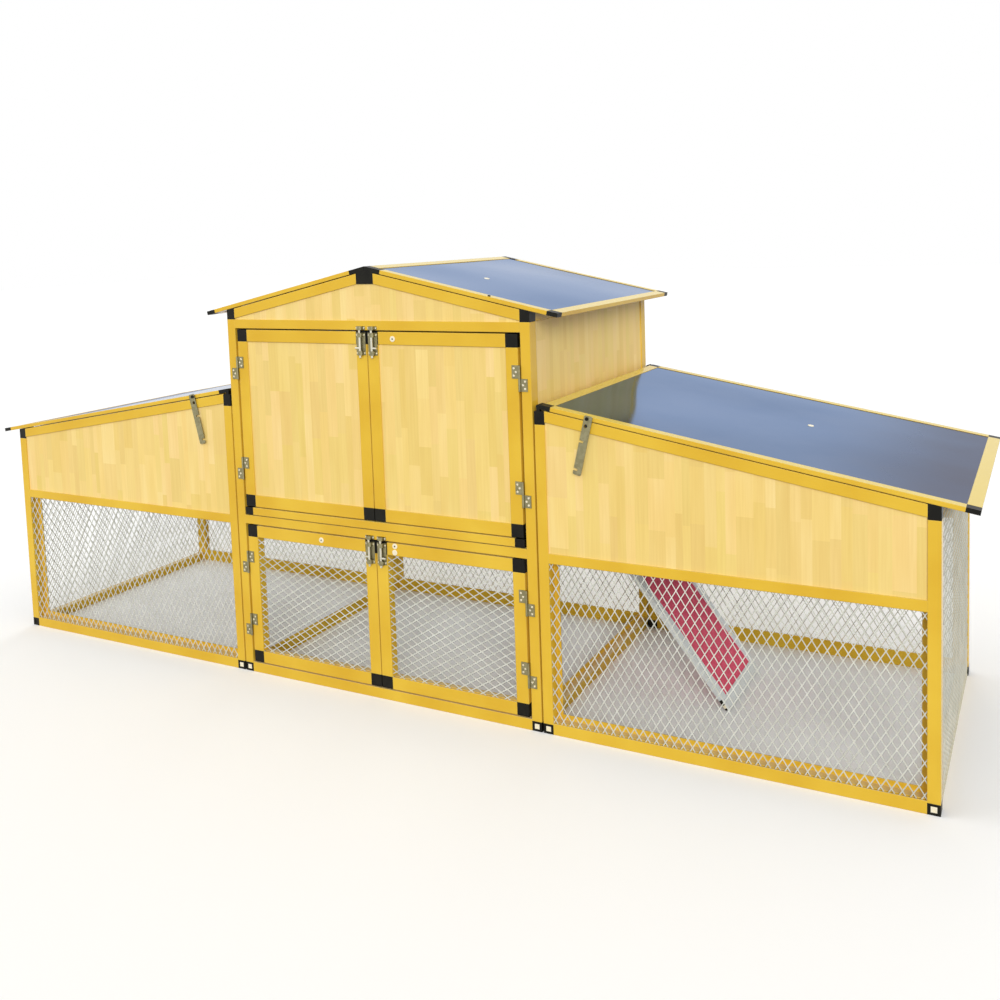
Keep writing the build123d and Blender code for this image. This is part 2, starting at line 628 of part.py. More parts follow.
for row, z0, rail_z in (("upper", UPPER_Z, TOWER_TOP_Z), ("lower", BASE_H + DOOR_GAP, TOWER_MID_Z)):
    z1 = rail_z - DOOR_GAP
    frame = [
        upright(DOOR_X0, z0 + DOOR_BAR, z1 - DOOR_BAR, stile),
        upright(DOOR_X1 - DOOR_BAR, z0 + DOOR_BAR, z1 - DOOR_BAR, stile),
        level(*inner_x, z0, door_rail_low),
        level(*inner_x, z1 - DOOR_BAR, door_rail_high),
    ]
    corners = [block(x, x + DOOR_BAR, 0, DOOR_D, z, z + DOOR_BAR)
               for x in (DOOR_X0, DOOR_X1 - DOOR_BAR) for z in (z0, z1 - DOOR_BAR)]
    fill_z = (z0 + DOOR_BAR - REACH, z1 - DOOR_BAR + REACH)
    if row == "upper":
        fill_name = "panel"
        fill = block(*inner_x, *panel_y, *fill_z)
    else:
        fill_name = "mesh"
        fill = front_net(*inner_x, *fill_z, DOOR_NET)
    hardware = []
    for axis_z in (z0 + HINGE_FROM_END, z1 - HINGE_FROM_END):
        bore = rod_z(DOOR_AXIS_X, -KNUCKLE_OUT, PIN_R + RUN_FIT, axis_z, axis_z + LEAF_UP)
        hardware.append(hinge_leaf(-1, axis_z, axis_z + LEAF_UP) - bore)
        pin = rod_z(DOOR_AXIS_X, -KNUCKLE_OUT, PIN_R, axis_z - LEAF_DOWN, axis_z + LEAF_UP)
        post_leaves.append(hinge_leaf(1, axis_z - LEAF_DOWN, axis_z - LEAF_GAP) + pin)
    plate_z = z1 - BOLT_TOP - BOLT_PLATE_H
    plate_x = (BOLT_X - BOLT_PLATE_W / 2, BOLT_X + BOLT_PLATE_W / 2)
    bolt_base = block(*plate_x, -BOLT_PLATE_T, 0, plate_z, z1 - BOLT_TOP)
    for guide_z in (plate_z, z1 - BOLT_TOP - GUIDE_H):
        bolt_base += guide(guide_z, guide_z + GUIDE_H, RUN_FIT, -BOLT_PLATE_T)
    hardware.append(bolt_base)
    tip_z = rail_z + BOLT_TIP
    knob_z = z1 - KNOB_DOWN
    knob = Plane(origin=(BOLT_X, -BOLT_OUT, knob_z), x_dir=UP, z_dir=RIGHT) * Circle(KNOB_R)
    bolt = rod_z(BOLT_X, -BOLT_OUT, BOLT_R, tip_z - BOLT_LENGTH, tip_z) + extrude(knob, amount=KNOB_L)
    keeper_z = rail_z + KEEPER_UP
    keepers.append(guide(keeper_z, keeper_z + KEEPER_H, KEEPER_PLAY, 0))
    for side, turn in SIDES:
        name = side + "_" + row + "_door_"
        save(name + "frame", turn(frame))
        save(name + "corners", turn(corners))
        save(name + fill_name, turn([fill]))
        save(name + "hardware", turn(hardware))
        save(name + "bolt", turn([bolt]))
save("hinge_post_leaves", both_sides(post_leaves))
save("bolt_keepers", both_sides(keepers))

# Tray with its runners
tray_cap_x = TRAY_X - TRAY_CAP_L
tray_bar = Pos(0, -TRAY_PROUD, 0) * level(-tray_cap_x, tray_cap_x, TRAY_Z, section(TRAY_BAR_H, TRAY_BAR_D))
tray_y = TRAY_BAR_D - TRAY_PROUD
tray_cap = block(tray_cap_x, TRAY_X, -TRAY_PROUD, tray_y, TRAY_Z, TRAY_Z + TRAY_BAR_H)
pan = block(-PAN_W / 2, PAN_W / 2, tray_y, PAN_BACK, PAN_Z, PAN_Z + PAN_H)
pan -= block(PAN_T - PAN_W / 2, PAN_W / 2 - PAN_T, tray_y + PAN_T, PAN_BACK - PAN_T, PAN_Z + PAN_T, PAN_Z + PAN_H)
save("tray_front", [tray_bar])
save("tray_caps", both_sides([tray_cap]))
save("tray_pan", [pan])
runner_top = TOWER_MID_Z + RAIL_H
runner = block(POST_X - RUNNER_W, POST_X, BAR_D, BACK_Y, runner_top - RUNNER_T, runner_top)
runner += block(POST_X - RUNNER_T, POST_X, BAR_D, BACK_Y, runner_top - RUNNER_H, runner_top)
save("tray_runners", both_sides([runner]))

# Perches between the side walls
perches = []
for y in PERCH_Y:
    perch = block(-wall_x[0], wall_x[0], y - PERCH_D / 2, y + PERCH_D / 2, PERCH_Z, PERCH_Z + PERCH_H)
    perches.append(fillet(perch.edges().filter_by(Axis.X), PERCH_ROUND))
save("perches", perches)

# Ramp, drawn flat from its pins and leaned down to the ground. Its side strips end in tongues over the feet.
ramp_low = RAMP_L - RAMP_END
ramp_in = (DOORWAY_Y0 + RAMP_BAR, DOORWAY_Y1 - RAMP_BAR)
ramp_z = (-RAMP_T / 2, RAMP_T / 2)
tongue_z = RAMP_T / 2 - RAMP_TONGUE
ramp_bars = [block(-RAMP_TOP, RAMP_BAR, *ramp_in, *ramp_z), block(ramp_low, RAMP_L, *ramp_in, *ramp_z)]
ramp_corners = []
for y0, y1 in ((DOORWAY_Y0, ramp_in[0]), (ramp_in[1], DOORWAY_Y1)):
    tongue = block(ramp_low, RAMP_L, y0, y1, tongue_z, RAMP_T / 2)
    ramp_bars.append(block(RAMP_BAR, ramp_low, y0, y1, *ramp_z) + tongue)
    ramp_corners.append(block(-RAMP_TOP, RAMP_BAR, y0, y1, *ramp_z) - rod_y(0, 0, RAMP_PIN_R + RUN_FIT, y0, y1))
    ramp_corners.append(block(ramp_low, RAMP_L, y0, y1, -RAMP_T / 2, tongue_z))
mat = block(RAMP_BAR, ramp_low, *ramp_in, -MAT_LOW, MAT_HIGH)


def on_ramp(shape):
    return tilted(shape, RAMP_X, RAMP_Z, RAMP_SLOPE)


save("ramp_frame", [on_ramp(s) for s in ramp_bars])
save("ramp_corners", [on_ramp(s) for s in ramp_corners])
save("ramp_mat", [on_ramp(mat)])
foot_top = TOWER_MID_Z + RAIL_H - EAR_FOOT_LOW
foot_low = TOWER_MID_Z + EAR_FOOT_LOW
ear_y = DOORWAY_Y0 - EAR_GAP - EAR_T
ear = prism([
    (TOWER_X, foot_low), (TOWER_X + EAR_FOOT_T, foot_low), (RAMP_X + EAR_R, RAMP_Z - EAR_R),
    (RAMP_X + EAR_R, RAMP_Z + EAR_R), (RAMP_X - EAR_R, RAMP_Z + EAR_R), (TOWER_X, foot_top),
], ear_y, ear_y + EAR_T)
ear += block(TOWER_X, TOWER_X + EAR_FOOT_T, ear_y - EAR_FOOT_W, ear_y + EAR_T, foot_low, foot_top)
ear += rod_y(RAMP_X, RAMP_Z, RAMP_PIN_R, ear_y, DOORWAY_Y0 + RAMP_PIN_L)
doorway_mid = (DOORWAY_Y0 + DOORWAY_Y1) / 2
save("ramp_brackets", [ear, mirror(ear, about=Plane(origin=(0, doorway_mid, 0), x_dir=RIGHT, z_dir=BACK))])
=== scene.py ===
# %% [markdown]
# # A chicken coop with a house in the middle and a run at each end
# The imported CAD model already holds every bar, panel, hinge and bolt at its real size and place.
# This lesson dresses it: one finish for each material, fine diamond nets in place of the coarse ones,
# and the small trim that a buyer would notice. All lengths are metres, +X points to the run with the
# ramp, the doors face -Y and +Z is up.

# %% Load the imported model
import json
from math import atan, ceil, cos, pi, radians, sin, sqrt

import bmesh
import bpy
from mathutils import Matrix, Vector


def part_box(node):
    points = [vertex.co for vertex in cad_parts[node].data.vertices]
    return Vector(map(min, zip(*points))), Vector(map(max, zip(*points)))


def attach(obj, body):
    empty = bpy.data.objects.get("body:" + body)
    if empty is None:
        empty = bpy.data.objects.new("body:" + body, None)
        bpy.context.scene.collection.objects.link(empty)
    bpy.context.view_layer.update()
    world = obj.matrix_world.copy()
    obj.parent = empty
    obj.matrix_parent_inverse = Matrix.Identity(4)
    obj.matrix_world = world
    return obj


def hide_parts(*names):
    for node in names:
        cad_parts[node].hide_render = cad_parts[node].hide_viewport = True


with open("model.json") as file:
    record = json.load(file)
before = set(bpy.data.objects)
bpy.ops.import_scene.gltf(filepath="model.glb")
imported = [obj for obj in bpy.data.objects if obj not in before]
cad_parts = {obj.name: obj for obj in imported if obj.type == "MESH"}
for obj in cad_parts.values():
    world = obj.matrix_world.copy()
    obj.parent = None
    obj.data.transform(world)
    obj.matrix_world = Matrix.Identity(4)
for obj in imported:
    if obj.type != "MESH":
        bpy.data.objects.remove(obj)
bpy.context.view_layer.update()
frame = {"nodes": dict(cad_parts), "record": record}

MM = 0.001

# %% [markdown]
# ## Four helpers for the finishes
# A finish is a small graph of shader nodes. Colours are picked as they look on a screen (sRGB) but mixed
# as light (linear), so one function converts them. A second function adds any node, sets it and links
# it. A third starts a finish with a Principled shader and Object coordinates, which stay with the
# piece when it moves and measure in metres, so every pattern can be given its real size. A fourth
# feeds the results to the shader.

# %% Helpers for the finishes
def colour(hex_code):
    """Linear red, green, blue and alpha of an sRGB hex colour."""
    parts = [int(hex_code[i:i + 2], 16) / 255 for i in (1, 3, 5)]
    return (*[c / 12.92 if c <= 0.04045 else ((c + 0.055) / 1.055) ** 2.4 for c in parts], 1)


def node(tree, kind, sockets=None, stops=(), **settings):
    """Adds a node. Sockets are values or other nodes' outputs, stops are the colours of a ramp."""
    made = tree.nodes.new("ShaderNode" + kind)
    for name, value in settings.items():
        setattr(made, name, value)
    for name, value in (sockets or {}).items():
        if isinstance(value, bpy.types.NodeSocket):
            tree.links.new(value, made.inputs[name])
        else:
            made.inputs[name].default_value = value
    for i, (position, hex_code) in enumerate(stops):
        elements = made.color_ramp.elements
        stop = elements[i] if i < len(elements) else elements.new(position)
        stop.position = position
        stop.color = colour(hex_code)
    return made


def start_finish(name, **values):
    """A new material with its tree, its Principled shader and the Object coordinates."""
    material = bpy.data.materials.new(name)
    material.use_nodes = True
    tree = material.node_tree
    shader = tree.nodes["Principled BSDF"]
    for socket, value in values.items():
        shader.inputs[socket.replace("_", " ")].default_value = value
    return material, tree, shader, node(tree, "TexCoord").outputs["Object"]


def feed(tree, shader, **outputs):
    """Links nodes' outputs to the shader's sockets."""
    for socket, output in outputs.items():
        tree.links.new(output, shader.inputs[socket.replace("_", " ")])


print("ready: colour, node, start_finish, feed")

# %% [markdown]
# ## Painted edge highlights
# Bars and mouldings have small rounded edges, which catch light. They could be bevelled
# in the mesh, but the CAD pieces stay as they are, so the finish does it: a Bevel node gives the normal
# that a rounded edge would have, and where that normal leaves the flat one there is an edge. The finishes
# paint these edges paler, as a painted highlight.

# %% Helper that finds edges for a painted highlight
# The cosine of the turn at which an edge counts in full, and the share of colour that the painted
# highlight then gets.
EDGE_TURN = 0.8
EDGE_HIGHLIGHT_SHARE = 0.3


def edge_highlight(tree, radius):
    """A normal that rounds sharp edges, and a factor for a painted highlight that rises along them to its
    full share.
    """
    rounded = node(tree, "Bevel", {"Radius": radius}, samples=4).outputs["Normal"]
    flat = node(tree, "NewGeometry").outputs["Normal"]
    facing = node(tree, "VectorMath", {0: rounded, 1: flat}, operation="DOT_PRODUCT")
    edge = node(tree, "MapRange", {"Value": facing.outputs["Value"], "From Min": 1.0,
                                   "From Max": EDGE_TURN, "To Max": EDGE_HIGHLIGHT_SHARE})
    return rounded, edge.outputs["Result"]


print("ready: edge_highlight")

# %% [markdown]
# ## Yellow bars
# The bars are aluminium extrusions with a baked powder coat. Powder melts into a skin with a faint
# orange-peel texture, half gloss, and its edges are painted paler, a painted highlight. Faces that
# look up are painted paler as well: a painted reflection of the sky turns the roof rails lemon, and
# painted light makes the low ledges a pale tan. The normal's Z finds those faces, and their height
# chooses between the two.

# %% Yellow powder coat, its tones
CLOUD = 220 * MM
# The normal's Z at which a face starts to count as level, and at which it counts in full.
LEVEL_FROM, LEVEL_TO = 0.6, 0.95
# The share of colour that the painted light takes on faces that look up.
PAINTED_TOP_SHARE = 0.7
LEDGE_Z, ROOF_Z = 100 * MM, 650 * MM

yellow_coat, tree, shader, place = start_finish("aluminium_powder_coated_yellow",
                                                IOR=1.5, Specular_IOR_Level=0.2)
clouds = node(tree, "TexNoise", {"Vector": place, "Scale": 1 / CLOUD, "Detail": 3.0})
body_tone = node(tree, "ValToRGB", {"Fac": clouds.outputs["Fac"]},
                 stops=((0.3, "#DCAE2F"), (0.5, "#E2B737"), (0.7, "#E8C03F")))
upward = node(tree, "SeparateXYZ", {"Vector": place.node.outputs["Normal"]})
painted_top_mask = node(tree, "MapRange", {"Value": upward.outputs["Z"], "From Min": LEVEL_FROM,
                                     "From Max": LEVEL_TO, "To Max": PAINTED_TOP_SHARE})
height = node(tree, "SeparateXYZ", {"Vector": place})
painted_top_height = node(tree, "MapRange", {"Value": height.outputs["Z"], "From Min": LEDGE_Z,
                                   "From Max": ROOF_Z})
# Painted light on faces that look up: a pale tan on the low ledges, a lemon sky reflection on the roof
# rails.
painted_top_light = node(tree, "MixRGB", {"Fac": painted_top_height.outputs["Result"], "Color1": colour("#DCC494"),
                                 "Color2": colour("#E0CC66")})
tone_with_painted_tops = node(tree, "MixRGB", {"Fac": painted_top_mask.outputs["Result"],
                                  "Color1": body_tone.outputs["Color"],
                                  "Color2": painted_top_light.outputs["Color"]})
print("toned", yellow_coat.name)

# %% Yellow powder coat, its edges and skin
BAR_ROUND = 2.5 * MM
# The real peel is about 1 mm wide, too fine to show here, so it is drawn wider.
PEEL = 3 * MM

rounded, edge = edge_highlight(tree, BAR_ROUND)
# The edges are painted paler: a painted highlight.
coat_tone = node(tree, "MixRGB", {"Fac": edge, "Color1": tone_with_painted_tops.outputs["Color"],
                                  "Color2": colour("#F6DC8C")})
peel = node(tree, "TexNoise", {"Vector": place, "Scale": 1 / PEEL, "Detail": 1.0})
peel_bump = node(tree, "Bump", {"Height": peel.outputs["Fac"], "Strength": 0.08, "Distance": 0.2 * MM,
                                "Normal": rounded})
gloss = node(tree, "MapRange", {"Value": clouds.outputs["Fac"], "To Min": 0.12, "To Max": 0.24})
feed(tree, shader, Base_Color=coat_tone.outputs["Color"], Normal=peel_bump.outputs["Normal"],
     Roughness=gloss.outputs["Result"])
print("made", yellow_coat.name)

# %% [markdown]
# ## Black connectors
# Corners, caps and feet are moulded ABS with a fine spark-eroded grain from the mould, a soft sheen and
# slightly greyer edges, which are a painted highlight. A fine noise as a bump gives the grain, and a
# wider one spreads a little dust, which lifts the black and dulls the sheen.

# %% Black moulded plastic
DUST = 40 * MM
MOULD_ROUND = 1.0 * MM
# The real grain is about 0.1 mm wide, so it is drawn wider to show at all.
MOULD_GRAIN = 1.5 * MM

black_abs, tree, shader, place = start_finish("abs_moulded_black", IOR=1.53, Specular_IOR_Level=0.15)
dust = node(tree, "TexNoise", {"Vector": place, "Scale": 1 / DUST, "Detail": 4.0})
black_tone = node(tree, "ValToRGB", {"Fac": dust.outputs["Fac"]},
                  stops=((0.35, "#0F0E09"), (0.65, "#1A1912")))
rounded, edge = edge_highlight(tree, MOULD_ROUND)
# The edges are painted greyer: a painted highlight.
highlit_edges = node(tree, "MixRGB", {"Fac": edge, "Color1": black_tone.outputs["Color"],
                               "Color2": colour("#35332A")})
grain = node(tree, "TexNoise", {"Vector": place, "Scale": 1 / MOULD_GRAIN, "Detail": 2.0})
grain_bump = node(tree, "Bump", {"Height": grain.outputs["Fac"], "Strength": 0.15, "Distance": 0.1 * MM,
                                 "Normal": rounded})
sheen = node(tree, "MapRange", {"Value": dust.outputs["Fac"], "To Min": 0.32, "To Max": 0.5})
feed(tree, shader, Base_Color=highlit_edges.outputs["Color"], Normal=grain_bump.outputs["Normal"],
     Roughness=sheen.outputs["Result"])
print("made", black_abs.name)

# %% [markdown]
# ## Stave panels
# The walls are boards of short wooden staves glued edge to edge, lacquered to a warm pale honey. Each
# stave has its own tone and ends at its own height. A picture of a board would repeat along so long a
# wall, so the staves are worked out: the wall is cut into columns with a floor function, each column
# is shifted by a random amount and cut again into lengths, and a random tone is drawn for each pair of
# numbers, with a trace of a random hue. X + Y is used across the wall, so that the same board covers
# the front walls and the side walls. A soft blush, wider than a stave, blurs the borders between the
# tones, and fine grain streaks run up every stave.

# %% Stave board, cut into staves
STAVE_W, STAVE_L = 28 * MM, 200 * MM
# The columns' borders wander by up to this many staves, so that no two columns are the same width.
WANDER, WANDER_STAVES = 80 * MM, 1.8
# Staves in a metre of height, drawn for each column.
FEWEST, MOST = 0.7 / STAVE_L, 1.6 / STAVE_L
# Any large number spreads the columns' first joints.
STAGGER = 37.0

stave_board, tree, shader, place = start_finish("softwood_stave_board_lacquered", IOR=1.5)
axes = node(tree, "SeparateXYZ", {"Vector": place})
across = node(tree, "Math", {0: axes.outputs["X"], 1: axes.outputs["Y"]}, operation="ADD").outputs[0]
wander = node(tree, "TexNoise", {"W": across, "Scale": 1 / WANDER, "Detail": 0.0}, noise_dimensions="1D")
columns = node(tree, "Math", {0: across, 1: 1 / STAVE_W}, operation="MULTIPLY")
uneven = node(tree, "Math", {0: wander.outputs["Fac"], 1: WANDER_STAVES, 2: columns.outputs[0]},
              operation="MULTIPLY_ADD")
column = node(tree, "Math", {0: uneven.outputs[0]}, operation="FLOOR").outputs[0]
shift = node(tree, "TexWhiteNoise", {"W": column}, noise_dimensions="1D").outputs["Value"]
per_metre = node(tree, "MapRange", {"Value": shift, "To Min": FEWEST, "To Max": MOST})
lengths = node(tree, "Math", {0: axes.outputs["Z"], 1: per_metre.outputs["Result"]},
               operation="MULTIPLY")
staggered = node(tree, "Math", {0: shift, 1: STAGGER, 2: lengths.outputs[0]}, operation="MULTIPLY_ADD")
stave_number = node(tree, "Math", {0: staggered.outputs[0]}, operation="FLOOR")
address = node(tree, "CombineXYZ", {"X": column, "Y": stave_number.outputs[0]})
draw = node(tree, "TexWhiteNoise", {"Vector": address.outputs["Vector"]}, noise_dimensions="2D")
print("cut", stave_board.name, "into staves")

# %% Stave board, its tones
BLUSH_W, BLUSH_L = 40 * MM, 240 * MM
BLUSH_SHARE = 0.3
HUE_SHARE = 0.03

fibres = node(tree, "CombineXYZ", {"X": across, "Y": axes.outputs["Z"]}).outputs["Vector"]
blush_size = node(tree, "Mapping", {"Vector": fibres, "Scale": (1 / BLUSH_W, 1 / BLUSH_L, 1)})
blush = node(tree, "TexNoise", {"Vector": blush_size.outputs["Vector"], "Scale": 1.0, "Detail": 1.0})
blush_part = node(tree, "MapRange", {"Value": blush.outputs["Fac"], "From Min": 0.3, "From Max": 0.7,
                                     "To Max": BLUSH_SHARE})
mixed = node(tree, "Math", {0: draw.outputs["Value"], 1: 1 - BLUSH_SHARE,
                            2: blush_part.outputs["Result"]}, operation="MULTIPLY_ADD")
stave_tone = node(tree, "ValToRGB", {"Fac": mixed.outputs[0]},
                  stops=((0.0, "#EBC86F"), (0.35, "#EFCF78"), (0.7, "#F3D482"), (1.0, "#F7DC91")))
stave_hue = node(tree, "MixRGB", {"Fac": HUE_SHARE, "Color1": stave_tone.outputs["Color"],
                                  "Color2": draw.outputs["Color"]})
print("toned", stave_board.name)

# %% Stave board, its grain and lacquer
STREAK_W, STREAK_L = 5 * MM, 160 * MM
STEP_SHARE = 0.6

fibre_size = node(tree, "Mapping", {"Vector": fibres, "Scale": (1 / STREAK_W, 1 / STREAK_L, 1)})
streaks = node(tree, "TexNoise", {"Vector": fibre_size.outputs["Vector"], "Scale": 1.0, "Detail": 3.0})
streak_tone = node(tree, "ValToRGB", {"Fac": streaks.outputs["Fac"]},
                   stops=((0.3, "#FAF7F0"), (0.65, "#FFFFFF")))
stave_colour = node(tree, "MixRGB", {"Fac": 1.0, "Color1": stave_hue.outputs["Color"],
                                     "Color2": streak_tone.outputs["Color"]}, blend_type="MULTIPLY")
relief = node(tree, "Math", {0: draw.outputs["Value"], 1: STEP_SHARE, 2: streaks.outputs["Fac"]},
              operation="MULTIPLY_ADD")
board_bump = node(tree, "Bump", {"Height": relief.outputs[0], "Strength": 0.12, "Distance": 0.3 * MM})
lacquer = node(tree, "MapRange", {"Value": streaks.outputs["Fac"], "To Min": 0.42, "To Max": 0.58})
feed(tree, shader, Base_Color=stave_colour.outputs["Color"], Normal=board_bump.outputs["Normal"],
     Roughness=lacquer.outputs["Result"])
print("made", stave_board.name)

# %% [markdown]
# ## Galvanised nets
# The nets are expanded steel dipped in molten zinc, a pale, slightly greenish grey with small drops and
# runs. Outdoors the zinc has weathered to a matt oxide bloom, so metallic is low and the colour carries
# the look. One noise clouds the tone and dulls its palest parts, and a finer one raises the drops.

# %% Galvanised nets
BLOOM = 60 * MM
DROP = 5 * MM

zinc_net, tree, shader, place = start_finish("steel_expanded_galvanised", Metallic=0.1)
bloom = node(tree, "TexNoise", {"Vector": place, "Scale": 1 / BLOOM, "Detail": 4.0})
zinc_tone = node(tree, "ValToRGB", {"Fac": bloom.outputs["Fac"]},
                 stops=((0.3, "#C2C3B6"), (0.5, "#CECFC3"), (0.7, "#D9DACF")))
dull = node(tree, "MapRange", {"Value": bloom.outputs["Fac"], "To Min": 0.4, "To Max": 0.65})
drops = node(tree, "TexNoise", {"Vector": place, "Scale": 1 / DROP, "Detail": 1.0})
drop_bump = node(tree, "Bump", {"Height": drops.outputs["Fac"], "Strength": 0.3, "Distance": 0.3 * MM})
feed(tree, shader, Base_Color=zinc_tone.outputs["Color"], Roughness=dull.outputs["Result"],
     Normal=drop_bump.outputs["Normal"])
print("made", zinc_net.name)

# %% [markdown]
# ## Zinc-plated hardware
# The hinges, bolt plates, keepers and stays are pressed from steel and zinc plated: a dark, warm grey
# with a spangle of crystals about 8 mm across. A Voronoi pattern draws the crystals, because its cells
# meet as crystals do and each has its own tone. Zinc is a metal, so metallic is 1. A Bevel node rounds
# the pressed edges, so that they catch light.

# %% Zinc-plated hardware
SPANGLE = 8 * MM
PLATE_ROUND = 0.5 * MM

zinc_plate, tree, shader, place = start_finish("steel_zinc_plated", Metallic=1.0)
spangle = node(tree, "TexVoronoi", {"Vector": place, "Scale": 1 / SPANGLE})
spangle_tone = node(tree, "ValToRGB", {"Fac": spangle.outputs["Color"]},
                    stops=((0.2, "#878162"), (0.5, "#8F8969"), (0.8, "#979171")))
crystal = node(tree, "MapRange", {"Value": spangle.outputs["Distance"], "To Min": 0.28, "To Max": 0.5})
rounded = node(tree, "Bevel", {"Radius": PLATE_ROUND}, samples=4)
spangle_bump = node(tree, "Bump", {"Height": spangle.outputs["Distance"], "Strength": 0.08,
                                   "Distance": 0.2 * MM, "Normal": rounded.outputs["Normal"]})
feed(tree, shader, Base_Color=spangle_tone.outputs["Color"], Roughness=crystal.outputs["Result"],
     Normal=spangle_bump.outputs["Normal"])
print("made", zinc_plate.name)

# %% [markdown]
# ## Bright-drawn bolts
# The sliding rods are steel pulled through a die, which leaves them brighter than the plates, with
# faint lines along the rod. A noise stretched along Z, the way the bolts slide, draws the lines.

# %% Bright-drawn bolts
# The real lines are finer than 0.1 mm, so they are drawn wider to show.
DRAWN_W, DRAWN_L = 1.5 * MM, 30 * MM

bright_steel, tree, shader, place = start_finish("steel_bright_drawn", Metallic=1.0)
drawn = node(tree, "Mapping", {"Vector": place, "Scale": (1 / DRAWN_W, 1 / DRAWN_W, 1 / DRAWN_L)})
lines = node(tree, "TexNoise", {"Vector": drawn.outputs["Vector"], "Scale": 1.0, "Detail": 2.0})
drawn_tone = node(tree, "ValToRGB", {"Fac": lines.outputs["Fac"]},
                  stops=((0.3, "#C4C0AE"), (0.7, "#E2DECF")))
drawn_gloss = node(tree, "MapRange", {"Value": lines.outputs["Fac"], "To Min": 0.15, "To Max": 0.3})
feed(tree, shader, Base_Color=drawn_tone.outputs["Color"], Roughness=drawn_gloss.outputs["Result"])
print("made", bright_steel.name)

# %% [markdown]
# ## Galvanised sheet
# The tray's pan, its runners and the ramp's brackets are folded from galvanised sheet, a cooler grey
# with larger crystals, about 20 mm across. The Voronoi pattern serves again, with larger cells.

# %% Galvanised sheet
SHEET_CRYSTAL = 20 * MM

zinc_sheet, tree, shader, place = start_finish("steel_sheet_galvanised", Metallic=1.0)
crystals = node(tree, "TexVoronoi", {"Vector": place, "Scale": 1 / SHEET_CRYSTAL})
sheet_tone = node(tree, "ValToRGB", {"Fac": crystals.outputs["Color"]},
                  stops=((0.2, "#A3A7A8"), (0.5, "#B1B4B4"), (0.8, "#BFC2C1")))
sheet_gloss = node(tree, "MapRange", {"Value": crystals.outputs["Distance"],
                                      "To Min": 0.35, "To Max": 0.55})
feed(tree, shader, Base_Color=sheet_tone.outputs["Color"], Roughness=sheet_gloss.outputs["Result"])
print("made", zinc_sheet.name)

# %% [markdown]
# ## Roof sheets
# Each roof is a smooth sheet with a blue-grey metallic lacquer, glossy enough to mirror the house wall
# beside it. Metal flakes under the lacquer tint what the sheet mirrors, so metallic is 1, and the
# specular tint keeps the blue at the flat angles from which roofs are mostly seen. The sheet isn't quite
# flat, so a very wide bump bows what it mirrors. Dust lies in faint clouds. Towards the outer
# ends the sheet is painted a greyer brown, a painted reflection of something darker and warmer, and its
# gloss is duller there.

# %% Blue-grey metallic lacquer
HAZE = 180 * MM
# How far from the middle of the house the painted reflection starts, and where it is at its strongest.
END_REFLECTION_FROM, END_REFLECTION_TO = 1050 * MM, 1500 * MM
END_REFLECTION_SHARE = 0.85
ENDS_DULL = 0.25
BOW, BOW_RISE = 450 * MM, 25 * MM

roof_lacquer, tree, shader, place = start_finish("sheet_metallic_lacquer_blue_grey", Metallic=1.0,
                                                 Specular_Tint=colour("#C6D8F8"))
haze = node(tree, "TexNoise", {"Vector": place, "Scale": 1 / HAZE, "Detail": 5.0})
lacquer_tone = node(tree, "ValToRGB", {"Fac": haze.outputs["Fac"]},
                    stops=((0.3, "#818893"), (0.5, "#878D97"), (0.7, "#8D929B")))
axes = node(tree, "SeparateXYZ", {"Vector": place})
from_middle = node(tree, "Math", {0: axes.outputs["X"]}, operation="ABSOLUTE")
painted_end_reflection = node(tree, "MapRange", {"Value": from_middle.outputs[0], "From Min": END_REFLECTION_FROM,
                               "From Max": END_REFLECTION_TO, "To Max": END_REFLECTION_SHARE},
            interpolation_type="SMOOTHSTEP").outputs["Result"]
# A greyer brown towards the outer ends is a painted reflection.
with_end_reflection = node(tree, "MixRGB", {"Fac": painted_end_reflection, "Color1": lacquer_tone.outputs["Color"],
                               "Color2": colour("#796C62")})
smear = node(tree, "MapRange", {"Value": haze.outputs["Fac"], "To Min": 0.06, "To Max": 0.2})
end_dulled_roughness = node(tree, "Math", {0: painted_end_reflection, 1: ENDS_DULL, 2: smear.outputs["Result"]},
            operation="MULTIPLY_ADD")
bow = node(tree, "TexNoise", {"Vector": place, "Scale": 1 / BOW, "Detail": 0.0})
bow_bump = node(tree, "Bump", {"Height": bow.outputs["Fac"], "Strength": 1.0, "Distance": BOW_RISE})
feed(tree, shader, Base_Color=with_end_reflection.outputs["Color"], Roughness=end_dulled_roughness.outputs[0],
     Normal=bow_bump.outputs["Normal"])
print("made", roof_lacquer.name)

# %% [markdown]
# ## Blackened steel
# The studs of the lid stays and a few small screws are steel blackened in hot oil, which leaves a
# blotchy, half glossy skin that is nearly black. One small noise gives the blotches, and they change the
# gloss as well as the tone.

# %% Blackened steel
OIL = 3 * MM

black_steel, tree, shader, place = start_finish("steel_blackened", Metallic=0.8)
oil = node(tree, "TexNoise", {"Vector": place, "Scale": 1 / OIL, "Detail": 2.0})
oil_tone = node(tree, "ValToRGB", {"Fac": oil.outputs["Fac"]}, stops=((0.3, "#1A1916"), (0.7, "#35332E")))
oil_gloss = node(tree, "MapRange", {"Value": oil.outputs["Fac"], "To Min": 0.3, "To Max": 0.5})
feed(tree, shader, Base_Color=oil_tone.outputs["Color"], Roughness=oil_gloss.outputs["Result"])
print("made", black_steel.name)

# %% [markdown]
# ## Nickel-plated screws
# The screws of the hinges and bolts are plated with nickel, a warm, bright metal. So small a head shows
# only a sparkle, so a fine noise that varies tone and gloss is enough.

# %% Nickel-plated screws
POLISH = 2 * MM

